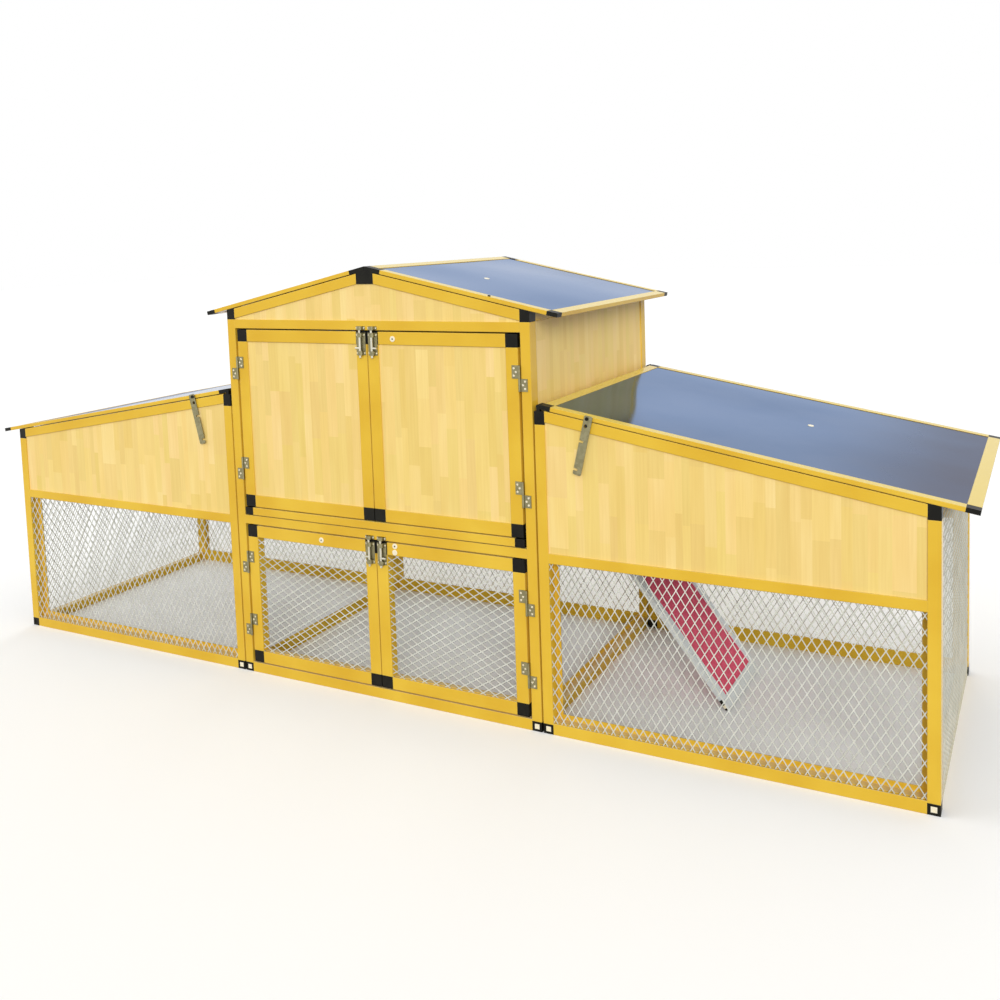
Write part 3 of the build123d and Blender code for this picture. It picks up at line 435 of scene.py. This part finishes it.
nickel, tree, shader, place = start_finish("steel_nickel_plated", Metallic=1.0)
polish = node(tree, "TexNoise", {"Vector": place, "Scale": 1 / POLISH, "Detail": 2.0})
nickel_tone = node(tree, "ValToRGB", {"Fac": polish.outputs["Fac"]},
                   stops=((0.3, "#DCD3B8"), (0.7, "#F2EBD6")))
polish_gloss = node(tree, "MapRange", {"Value": polish.outputs["Fac"], "To Min": 0.15, "To Max": 0.35})
feed(tree, shader, Base_Color=nickel_tone.outputs["Color"], Roughness=polish_gloss.outputs["Result"])
print("made", nickel.name)

# %% [markdown]
# ## Planed beech
# The perches inside the house are planed beech, a warm brown with fine grain along the pole and hardly
# any shine. The poles lie along X, so a noise that is stretched along X draws the grain.

# %% Planed beech
GRAIN_W, GRAIN_L = 4 * MM, 120 * MM

beech, tree, shader, place = start_finish("beech_planed", IOR=1.5)
along = node(tree, "Mapping", {"Vector": place, "Scale": (1 / GRAIN_L, 1 / GRAIN_W, 1 / GRAIN_W)})
rings = node(tree, "TexNoise", {"Vector": along.outputs["Vector"], "Scale": 1.0, "Detail": 4.0})
beech_tone = node(tree, "ValToRGB", {"Fac": rings.outputs["Fac"]},
                  stops=((0.3, "#A9794A"), (0.55, "#C4976A"), (0.75, "#D6B085")))
planed = node(tree, "MapRange", {"Value": rings.outputs["Fac"], "To Min": 0.5, "To Max": 0.7})
beech_bump = node(tree, "Bump", {"Height": rings.outputs["Fac"], "Strength": 0.2, "Distance": 0.3 * MM})
feed(tree, shader, Base_Color=beech_tone.outputs["Color"], Roughness=planed.outputs["Result"],
     Normal=beech_bump.outputs["Normal"])
print("made", beech.name)

# %% [markdown]
# ## Silver strips of the ramp
# The ramp's side and end strips are aluminium, brushed along the ramp and anodised. The oxide skin
# scatters light, so they look pale and silky rather than like a mirror, and metallic is low. A first
# Mapping node turns the pattern by the ramp's slope and a second one stretches it to hairlines.

# %% Brushed anodised aluminium
RAMP_SLOPE = radians(52)
# The real hairlines are finer than 0.1 mm, so they are drawn wider to show.
HAIR_W, HAIR_L = 1.5 * MM, 120 * MM

brushed, tree, shader, place = start_finish("aluminium_anodised_brushed", Metallic=0.3)
lying = node(tree, "Mapping", {"Vector": place, "Rotation": (0, -RAMP_SLOPE, 0)})
hairlines = node(tree, "Mapping", {"Vector": lying.outputs["Vector"],
                                   "Scale": (1 / HAIR_L, 1 / HAIR_W, 1 / HAIR_W)})
hairs = node(tree, "TexNoise", {"Vector": hairlines.outputs["Vector"], "Scale": 1.0, "Detail": 2.0})
brushed_tone = node(tree, "ValToRGB", {"Fac": hairs.outputs["Fac"]},
                    stops=((0.3, "#D2D8D8"), (0.7, "#E8ECEC")))
brushed_gloss = node(tree, "MapRange", {"Value": hairs.outputs["Fac"], "To Min": 0.35, "To Max": 0.5})
feed(tree, shader, Base_Color=brushed_tone.outputs["Color"], Roughness=brushed_gloss.outputs["Result"])
print("made", brushed.name)

# %% [markdown]
# ## Red mat of the ramp
# The mat is moulded red rubber, matt and scuffed, with a rib across the ramp every 6 mm for grip. The
# ribs run along Y, and a wave pattern turned by the ramp's slope draws them as a bump, which costs
# far less than modelling each one.

# %% Red ribbed rubber
RIB = 6 * MM
SCUFF = 9 * MM
# A wave texture of scale 1 repeats every 2 pi / 20 of a unit.
WAVE_REPEAT = 2 * pi / 20

red_rubber, tree, shader, place = start_finish("rubber_ribbed_red", IOR=1.52, Roughness=0.75)
lying = node(tree, "Mapping", {"Vector": place, "Rotation": (0, -RAMP_SLOPE, 0)})
ribs = node(tree, "TexWave", {"Vector": lying.outputs["Vector"], "Scale": WAVE_REPEAT / RIB},
            bands_direction="X")
scuffs = node(tree, "TexNoise", {"Vector": place, "Scale": 1 / SCUFF, "Detail": 4.0})
rubber_tone = node(tree, "ValToRGB", {"Fac": scuffs.outputs["Fac"]},
                   stops=((0.3, "#DE4A69"), (0.55, "#E95574"), (0.75, "#F06E8A")))
rib_bump = node(tree, "Bump", {"Height": ribs.outputs["Fac"], "Strength": 0.35, "Distance": 0.6 * MM})
feed(tree, shader, Base_Color=rubber_tone.outputs["Color"], Normal=rib_bump.outputs["Normal"])
print("made", red_rubber.name)

# %% [markdown]
# ## White caps and plugs
# They are moulded polypropylene, a creamy white with a soft sheen that yellows a little outdoors. A
# noise spreads the yellowing.

# %% White polypropylene
YELLOWING = 8 * MM

white_pp, tree, shader, place = start_finish("polypropylene_moulded_white", IOR=1.49, Roughness=0.35)
yellowing = node(tree, "TexNoise", {"Vector": place, "Scale": 1 / YELLOWING, "Detail": 2.0})
white_tone = node(tree, "ValToRGB", {"Fac": yellowing.outputs["Fac"]},
                  stops=((0.3, "#EFE4C4"), (0.7, "#F5EDD5")))
feed(tree, shader, Base_Color=white_tone.outputs["Color"])
print("made", white_pp.name)

# %% [markdown]
# ## Dress the CAD pieces
# The record names a material slot for each node, so one table from slot to finish dresses them all. Only
# the sliding bolts are brighter than the other steel, and the tray's pan and runners and the ramp's
# brackets are bare galvanised sheet.

# %% Finishes onto the CAD pieces
finishes = {
    "yellow_bars": yellow_coat, "black_connectors": black_abs, "stave_panels": stave_board,
    "galvanised_mesh": zinc_net, "roof_sheet": roof_lacquer, "galvanised_steel": zinc_plate,
    "black_screws": black_steel, "perch_wood": beech, "silver_strips": brushed, "red_mat": red_rubber,
}
own_finish = {"tray_pan": zinc_sheet, "tray_runners": zinc_sheet, "ramp_brackets": zinc_sheet}
for side in ("left", "right"):
    for row in ("upper", "lower"):
        own_finish[side + "_" + row + "_door_bolt"] = bright_steel
for part in frame["record"]["subparts"]:
    for slot in frame["nodes"][part["node"]].material_slots:
        slot.material = own_finish.get(part["node"], finishes[part["material_slot"]])

# %% [markdown]
# ## Diamond nets
# Expanded mesh is made by slitting a sheet and pulling it open, so it is one flat piece with diamond
# holes and no woven wires. The same idea works here: a square grid is turned by 45 degrees and
# stretched to the diamond's width and height, each cell is inset by half a strand, the middle of each
# cell is deleted, the sheet is trimmed to the frame with four cuts, and solidify gives it thickness.

# %% Helper that turns a bmesh into a finished piece
def finish_piece(bm, name, material, body):
    """Makes an object of a bmesh, with its faces turned outwards, and lets it ride on a body."""
    bmesh.ops.recalc_face_normals(bm, faces=bm.faces)
    mesh = bpy.data.meshes.new(name)
    bm.to_mesh(mesh)
    bm.free()
    mesh.materials.append(material)
    piece = bpy.data.objects.new(name, mesh)
    bpy.context.scene.collection.objects.link(piece)
    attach(piece, body)
    return piece


print("ready: finish_piece")

# %% Helper that makes a net
STRAND_W = 2.3 * MM
STRAND_T = 0.9 * MM
QUARTER = radians(90)
TOLERANCE = 1e-7


def diamond_net(node_name, body, across, up):
    """A net of diamonds that fills the box of a CAD net and stands for it."""
    low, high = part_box(node_name)
    size = high - low
    thin = 0 if size.x < size.y else 1
    wide = 1 - thin
    half = (size[wide] / 2, size.z / 2)
    cells = 2 * ceil(half[0] / across + half[1] / up) + 2
    bm = bmesh.new()
    bmesh.ops.create_grid(bm, x_segments=cells, y_segments=cells, size=cells / 2)
    stretch = Matrix.Diagonal((across / sqrt(2), up / sqrt(2), 1, 1))
    bmesh.ops.transform(bm, matrix=stretch @ Matrix.Rotation(QUARTER / 2, 4, "Z"), verts=bm.verts)
    holes = bm.faces[:]
    bmesh.ops.inset_individual(bm, faces=holes, thickness=STRAND_W / 2, use_even_offset=True)
    bmesh.ops.delete(bm, geom=holes, context="FACES")
    for axis in (0, 1):
        for end in (-1, 1):
            outward = Vector((0, 0, 0))
            outward[axis] = end
            bmesh.ops.bisect_plane(bm, geom=bm.verts[:] + bm.edges[:] + bm.faces[:], dist=TOLERANCE,
                                   plane_co=outward * half[axis], plane_no=outward, clear_outer=True)
    bmesh.ops.solidify(bm, geom=bm.faces[:], thickness=STRAND_T)
    lowest = min(v.co.z for v in bm.verts)
    bmesh.ops.translate(bm, vec=(0, 0, -lowest - STRAND_T / 2), verts=bm.verts)
    stand = Matrix.Rotation(QUARTER, 4, "X")
    if thin == 0:
        stand = Matrix.Rotation(QUARTER, 4, "Z") @ stand
    bmesh.ops.transform(bm, matrix=Matrix.Translation((low + high) / 2) @ stand, verts=bm.verts)
    net = finish_piece(bm, node_name + "_fine", zinc_net, body)
    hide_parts(node_name)
    print("made", net.name, len(net.data.polygons), "faces")


print("ready: diamond_net")

# %% Nets
UPRIGHT_DIAMOND = (22.8 * MM, 36.8 * MM)
LYING_DIAMOND = UPRIGHT_DIAMOND[::-1]

for side in ("left", "right"):
    for wall in ("front", "back", "end"):
        diamond_net(side + "_run_" + wall + "_mesh", "coop", *UPRIGHT_DIAMOND)
    diamond_net(side + "_lower_door_mesh", side + "_lower_door", *LYING_DIAMOND)
diamond_net("tower_back_mesh", "coop", *UPRIGHT_DIAMOND)

# %% [markdown]
# ## Screws
# Each hinge leaf is held by three pan-head screws, each bolt plate by four and each keeper by two. A
# head is a disc of twelve sides: its rim is bevelled to a dome and its middle is inset and pushed in
# for the driver. It is drawn lying flat at the origin, where it is easy to shape, and a matrix then
# turns it to the front and moves it to its place. The places come from the model itself: its joints,
# the doors' boxes and the front face of the house.

# %% Helper for domed buttons
SOCKET_TAPER = 0.15


def add_button(bm, matrix, radius, height, sides, dome, socket, sink):
    """Adds a round button to a bmesh: a domed disc with a socket pushed into its middle."""
    before = set(bm.verts)
    made = bmesh.ops.create_circle(bm, cap_ends=True, segments=sides, radius=radius)
    face = made["verts"][0].link_faces[0]
    top = bmesh.ops.extrude_face_region(bm, geom=[face])["geom"]
    top_face = [g for g in top if isinstance(g, bmesh.types.BMFace)][0]
    bmesh.ops.translate(bm, vec=(0, 0, height), verts=top_face.verts)
    rim = top_face.edges[:]
    bmesh.ops.bevel(bm, geom=rim, offset=dome, affect="EDGES", segments=2, profile=0.5, material=-1)
    crown = max((f for f in bm.faces if f.verts[0] not in before),
                key=lambda f: (round(f.calc_center_median().z, 7), f.calc_area()))
    bmesh.ops.inset_region(bm, faces=[crown], thickness=socket, depth=0)
    bmesh.ops.inset_region(bm, faces=[crown], thickness=SOCKET_TAPER * socket, depth=-sink)
    new = [v for v in bm.verts if v not in before]
    bmesh.ops.transform(bm, matrix=matrix, verts=new)


print("ready: add_button")

# %% Helper for screw heads
FACE_FRONT = Matrix.Rotation(QUARTER, 4, "X")
SCREW = {"radius": 3.0 * MM, "height": 1.6 * MM, "sides": 12,
         "dome": 0.7 * MM, "socket": 0.8 * MM, "sink": 0.5 * MM}


def screw_heads(name, body, places):
    """Screw heads that face the front, with their undersides at the places."""
    bm = bmesh.new()
    for spot in places:
        add_button(bm, Matrix.Translation(spot) @ FACE_FRONT, **SCREW)
    finish_piece(bm, name, nickel, body)
    print("made", name, len(places), "heads")


print("ready: screw_heads")

# %% Screws of the hinges, bolts and keepers
FRONT_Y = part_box("tower_frame")[0].y
LEAF_T, PLATE_T = 2.0 * MM, 1.5 * MM
LEAF_Y, PLATE_Y = FRONT_Y - LEAF_T, FRONT_Y - PLATE_T
HINGE_FROM_END = 114 * MM
POST_LEAF_DOWN = 33.3 * MM
# How far each screw of a leaf is from the hinge pin, and above the leaf's foot.
LEAF_SCREWS = ((15.5 * MM, 7.5 * MM), (9.5 * MM, 17.0 * MM), (15.5 * MM, 26.5 * MM))
PLATE_SCREWS_DOWN = (13 * MM, 63 * MM)
BOLT_SCREW_ASIDE = 11.5 * MM
KEEPER_SCREW_UP = 6 * MM

joint_at = {joint["name"]: Vector(joint["pos_m"]) for joint in frame["record"]["behaviour"]["joints"]}
post_places = []
keeper_places = []
for side, sign in (("left", -1), ("right", 1)):
    for row in ("upper", "lower"):
        door = side + "_" + row + "_door"
        hinge_x = joint_at[door + "_hinge"].x
        bolt = joint_at[side + "_" + row + "_bolt_slide"]
        low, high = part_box(door + "_frame")
        places = []
        for hinge_z in (low.z + HINGE_FROM_END, high.z - HINGE_FROM_END):
            for away, up in LEAF_SCREWS:
                places.append((hinge_x - sign * away, LEAF_Y, hinge_z + up))
                post_places.append((hinge_x + sign * away, LEAF_Y, hinge_z + up - POST_LEAF_DOWN))
        for down in PLATE_SCREWS_DOWN:
            for aside in (-BOLT_SCREW_ASIDE, BOLT_SCREW_ASIDE):
                places.append((bolt.x + aside, PLATE_Y, bolt.z - down))
        screw_heads(door + "_screws", door, places)
        for aside in (-BOLT_SCREW_ASIDE, BOLT_SCREW_ASIDE):
            keeper_places.append((bolt.x + aside, PLATE_Y, bolt.z + KEEPER_SCREW_UP))
screw_heads("post_hinge_screws", "coop", post_places)
screw_heads("keeper_screws", "coop", keeper_places)

# %% [markdown]
# ## Keeper ears
# A bolt's keeper is a loop pressed from strip, with a flat ear on each side that takes a screw. The
# loop is in the CAD model. Each ear is a small plate beside the loop, a cube whose outer corners are
# bevelled round.

# %% Keeper ears
EAR_W, EAR_T, EAR_H = 7 * MM, 1.5 * MM, 10 * MM
EAR_CORNER = 3 * MM


def keeper_ear(bm, middle, outward):
    """Adds a plate to a bmesh, with round corners on its outward side, -1 or 1 along X."""
    shape = Matrix.Translation(middle) @ Matrix.Diagonal((EAR_W, EAR_T, EAR_H, 1))
    plate = bmesh.ops.create_cube(bm, size=1, matrix=shape)["verts"]
    corners = {edge for vert in plate for edge in vert.link_edges
               if all((end.co.x - middle.x) * outward > 0 for end in edge.verts)
               and abs(edge.verts[0].co.y - edge.verts[1].co.y) > EAR_T / 2}
    bmesh.ops.bevel(bm, geom=list(corners), offset=EAR_CORNER, affect="EDGES", segments=3,
                    profile=0.5, material=-1)


bm = bmesh.new()
for name, bolt in joint_at.items():
    if name.endswith("_bolt_slide"):
        for outward in (-1, 1):
            middle = (bolt.x + outward * BOLT_SCREW_ASIDE, FRONT_Y - EAR_T / 2, bolt.z + KEEPER_SCREW_UP)
            keeper_ear(bm, Vector(middle), outward)
finish_piece(bm, "keeper_ears", zinc_plate, "coop")
print("made keeper_ears")

# %% [markdown]
# ## Round caps
# A few round caps close drilled holes in the door rails, the roof sheets and a ramp strip. Each is the
# same button as a screw head, larger, with a small dark screw in its socket where it holds a rail. A cap
# on a roof or on the ramp has to lie on a slope, so one helper turns a place on the front into a
# matrix and another does it for a slope.

# %% Helpers for round caps
CAP = {"radius": 8 * MM, "height": 1.6 * MM, "sides": 20,
       "dome": 1.0 * MM, "socket": 4.6 * MM, "sink": 0.6 * MM}
CAP_SCREW = {"radius": 2.2 * MM, "height": 0.9 * MM, "sides": 12,
             "dome": 0.3 * MM, "socket": 0.7 * MM, "sink": 0.4 * MM}


def round_cap(name, body, matrix, screw=False):
    """A cap that faces up the matrix's Z axis, on a body."""
    bm = bmesh.new()
    add_button(bm, matrix, **CAP)
    finish_piece(bm, name, white_pp, body)
    if screw:
        bm = bmesh.new()
        socket_floor = Matrix.Translation((0, 0, CAP["height"] - CAP["sink"]))
        add_button(bm, matrix @ socket_floor, **CAP_SCREW)
        finish_piece(bm, name + "_screw", black_steel, body)
    print("made", name)


def on_front(x, z):
    """A place on the front face."""
    return Matrix.Translation((x, FRONT_Y, z)) @ FACE_FRONT


def on_slope(top, slope, along, depth, up):
    """A place on a slope that falls to the right: down it from its top, behind the front, above it."""
    turn = Matrix.Translation((top.x, FRONT_Y, top.z)) @ Matrix.Rotation(slope, 4, "Y")
    return turn @ Matrix.Translation((along, depth, up))


print("ready: round_cap, on_front, on_slope")

# %% Round caps
DOOR_CAPS = (
    # The piece, its body, its x and z, and whether a screw holds it.
    ("cap_right_upper_door", "right_upper_door", 84 * MM, 1023 * MM, True),
    ("cap_left_lower_door", "left_lower_door", -190 * MM, 437 * MM, True),
    ("cap_right_lower_door_a", "right_lower_door", 63 * MM, 447 * MM, True),
    ("cap_right_lower_door_b", "right_lower_door", 62 * MM, 429 * MM, False),
)
RUN_FALL, RUN_L = 166 * MM, 956 * MM
RUN_SLOPE = atan(RUN_FALL / RUN_L)
RUN_SHEET_UP = 4.2 * MM
TOWER_FALL, TOWER_HALF = 109 * MM, 499 * MM
TOWER_SLOPE = atan(TOWER_FALL / TOWER_HALF)
TOWER_RIDGE = Vector((0, 0, 1207 * MM))
TOWER_SHEET_UP = 12.3 * MM
RAMP_STRIP_UP = 7 * MM

for name, body, x, z, screw in DOOR_CAPS:
    round_cap(name, body, on_front(x, z), screw)
roof_pivot, ramp_pivot = joint_at["right_roof_hinge"], joint_at["ramp_hinge"]
round_cap("cap_right_roof", "right_roof",
          on_slope(roof_pivot, RUN_SLOPE, along=590 * MM, depth=455 * MM, up=RUN_SHEET_UP))
round_cap("cap_tower_roof", "coop",
          on_slope(TOWER_RIDGE, TOWER_SLOPE, along=228 * MM, depth=285 * MM, up=TOWER_SHEET_UP))
round_cap("cap_ramp", "ramp",
          on_slope(ramp_pivot, RAMP_SLOPE, along=513 * MM, depth=590 * MM, up=RAMP_STRIP_UP))

# %% [markdown]
# ## Rail screw of the house roof
# One dark screw with a raised head stands on the front rail of the house roof, two thirds of the way
# down to the eave. It is the same button again, taller, put on the slope.

# %% Rail screw of the house roof
RAIL_SCREW = {"radius": 4 * MM, "height": 3 * MM, "sides": 12,
              "dome": 1.2 * MM, "socket": 1.2 * MM, "sink": 0.8 * MM}
TOWER_RAIL_UP = 13.6 * MM

bm = bmesh.new()
add_button(bm, on_slope(TOWER_RIDGE, TOWER_SLOPE, along=388 * MM, depth=7 * MM, up=TOWER_RAIL_UP),
           **RAIL_SCREW)
finish_piece(bm, "roof_rail_screw", black_steel, "coop")
print("made roof_rail_screw")

# %% [markdown]
# ## Square plugs
# The feet have square sockets on their outer faces, each closed by a white plug, apart from the outer
# left foot at the front. One foot of the ramp has a smaller plug. A plug is a cube: its outer face is
# bevelled, then inset and pushed in for the small hole in its middle.

# %% Helper for square plugs
PLUG_D = 2.6 * MM
PLUG_BEVEL = 0.8 * MM
PLUG_RIM = 3.2 * MM
HOLE_TAPER, HOLE_D = 0.4 * MM, 0.8 * MM


def square_plug(bm, size, out, matrix):
    """Adds a plug to a bmesh, put in place by the matrix. Out is -1 at the front and 1 at the back."""
    before = set(bm.verts)

    def outer_face():
        faces = {f for v in bm.verts if v not in before for f in v.link_faces}
        return max(faces, key=lambda f: (round(f.calc_center_median().y * out, 7), f.calc_area()))

    bmesh.ops.create_cube(bm, size=1, matrix=Matrix.Diagonal((size, PLUG_D, size, 1)))
    bmesh.ops.bevel(bm, geom=outer_face().edges[:], offset=PLUG_BEVEL, affect="EDGES", segments=2,
                    profile=0.5, material=-1)
    face = outer_face()
    bmesh.ops.inset_region(bm, faces=[face], thickness=PLUG_RIM, depth=0)
    bmesh.ops.inset_region(bm, faces=[face], thickness=HOLE_TAPER, depth=-HOLE_D)
    bmesh.ops.transform(bm, matrix=matrix, verts=[v for v in bm.verts if v not in before])


print("ready: square_plug")

# %% Square plugs of the feet
PLUG = 13.4 * MM
PLUG_PROUD = 0.8 * MM
BACK_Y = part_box("tower_frame")[1].y
FOOT_X = (485 * MM, 518 * MM, 1446 * MM)
FOOT_Z = 13 * MM
OPEN_FOOT = (-FOOT_X[2], -1)

bm = bmesh.new()
count = 0
for foot_x in FOOT_X:
    for x in (-foot_x, foot_x):
        for out, face_y in ((-1, FRONT_Y), (1, BACK_Y)):
            if (x, out) != OPEN_FOOT:
                y = face_y + out * (PLUG_PROUD - PLUG_D / 2)
                square_plug(bm, PLUG, out, Matrix.Translation((x, y, FOOT_Z)))
                count += 1
finish_piece(bm, "foot_plugs", white_pp, "coop")
print("made foot_plugs", count)

# %% Square plug of the ramp
RAMP_PLUG = 9 * MM
RAMP_PLUG_SUNK = 0.4 * MM

ramp_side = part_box("ramp_frame")[0].y - FRONT_Y
plug_depth = ramp_side - PLUG_D / 2 + RAMP_PLUG_SUNK
bm = bmesh.new()
square_plug(bm, RAMP_PLUG, -1,
            on_slope(ramp_pivot, RAMP_SLOPE, along=625 * MM, depth=plug_depth, up=-2 * MM))
finish_piece(bm, "ramp_plug", white_pp, "ramp")
print("made ramp_plug")

# %% [markdown]
# ## Studio floor and backdrop
# The coop stands on a plain floor under a soft sky. The camera and mirror-like surfaces see the floor
# and the backdrop white. Light that bounces sees a greyer floor and a dimmer sky, so that colours render
# about as written and gaps stay dark. A Light Path node tells the two kinds of ray apart.

# %% Floor
FLOOR_SEEN = colour("#FBFBFA")
FLOOR_BOUNCE = colour("#7C7C7A")
FLOOR_HALF = 30

scene = bpy.context.scene
scene.view_settings.view_transform = "Standard"


def seen_directly(tree):
    """1 where a ray comes from the camera, a reflection or a clear material, otherwise 0."""
    path = node(tree, "LightPath")
    mirrored = node(tree, "Math", {0: path.outputs["Is Camera Ray"], 1: path.outputs["Is Glossy Ray"]},
                    operation="MAXIMUM")
    return node(tree, "Math", {0: mirrored.outputs[0], 1: path.outputs["Is Transmission Ray"]},
                operation="MAXIMUM").outputs[0]


bm = bmesh.new()
bmesh.ops.create_grid(bm, x_segments=1, y_segments=1, size=FLOOR_HALF)
floor_mesh = bpy.data.meshes.new("floor")
bm.to_mesh(floor_mesh)
bm.free()
floor = bpy.data.objects.new("floor", floor_mesh)
scene.collection.objects.link(floor)
floor_paint, tree, shader, _ = start_finish("studio_floor_matt", Roughness=0.9, Specular_IOR_Level=0.0)
floor_tone = node(tree, "MixRGB", {"Fac": seen_directly(tree), "Color1": FLOOR_BOUNCE,
                                   "Color2": FLOOR_SEEN})
feed(tree, shader, Base_Color=floor_tone.outputs["Color"])
floor_mesh.materials.append(floor_paint)
print("made floor")

# %% Sky and backdrop
SKY = 0.75
WHITE = colour("#FFFFFF")

world = bpy.data.worlds.new("studio")
scene.world = world
world.use_nodes = True
tree = world.node_tree
level = node(tree, "MapRange", {"Value": seen_directly(tree), "To Min": SKY, "To Max": 1.0})
backdrop = tree.nodes["Background"]
backdrop.inputs["Color"].default_value = WHITE
feed(tree, backdrop, Strength=level.outputs["Result"])
print("made", world.name)

# %% [markdown]
# ## Lamps
# A broad, soft sun shines from the front right, a weaker and broader one from the left, and a weak one
# on the back walls, which the roofs don't mirror. Suns are used because their light doesn't fall off
# along so long an object, and a wide angle softens their shadows as an overcast sky does.

# %% Lamps
def soft_sun(name, strength, angle, towards, mirrored=True):
    """A broad sun whose strength is the brightness it gives a white face turned to it."""
    lamp = bpy.data.lights.new(name, "SUN")
    lamp.energy = strength * pi
    lamp.angle = radians(angle)
    sun = bpy.data.objects.new(name, lamp)
    scene.collection.objects.link(sun)
    sun.rotation_mode = "QUATERNION"
    sun.rotation_quaternion = Vector(towards).to_track_quat("-Z", "Y")
    sun.visible_glossy = mirrored
    print("made", name)


soft_sun("key_light", strength=0.62, angle=25, towards=(-0.47, 0.814, -0.342))
soft_sun("fill_light", strength=0.2, angle=50, towards=(0.85, 0.3, -0.43))
soft_sun("back_light", strength=0.25, angle=30, towards=(0.2, -0.94, -0.27), mirrored=False)

# %% [markdown]
# ## Camera
# The camera stands where the photograph was taken: its place, turn and lens were worked out from the
# straight bars of the coop. The downward shift matches the photograph's framing.

# %% Camera
CAMERA_AT = (1.66933, -2.76756, 1.29011)
YAW, PITCH, ROLL = radians(28.04), radians(-4.97), radians(-1.92)

lens = bpy.data.cameras.new("photo_view")
lens.lens = 37.76
lens.sensor_width = 36
lens.shift_y = -0.1725
camera = bpy.data.objects.new("photo_view", lens)
scene.collection.objects.link(camera)
forward = Vector((-sin(YAW) * cos(PITCH), cos(YAW) * cos(PITCH), sin(PITCH)))
level_right = Vector((cos(YAW), sin(YAW), 0))
level_up = level_right.cross(forward)
right = cos(ROLL) * level_right + sin(ROLL) * level_up
up = cos(ROLL) * level_up - sin(ROLL) * level_right
turn = Matrix((right, up, -forward)).transposed().to_4x4()
camera.matrix_world = Matrix.Translation(CAMERA_AT) @ turn
scene.camera = camera
print("camera at", CAMERA_AT)
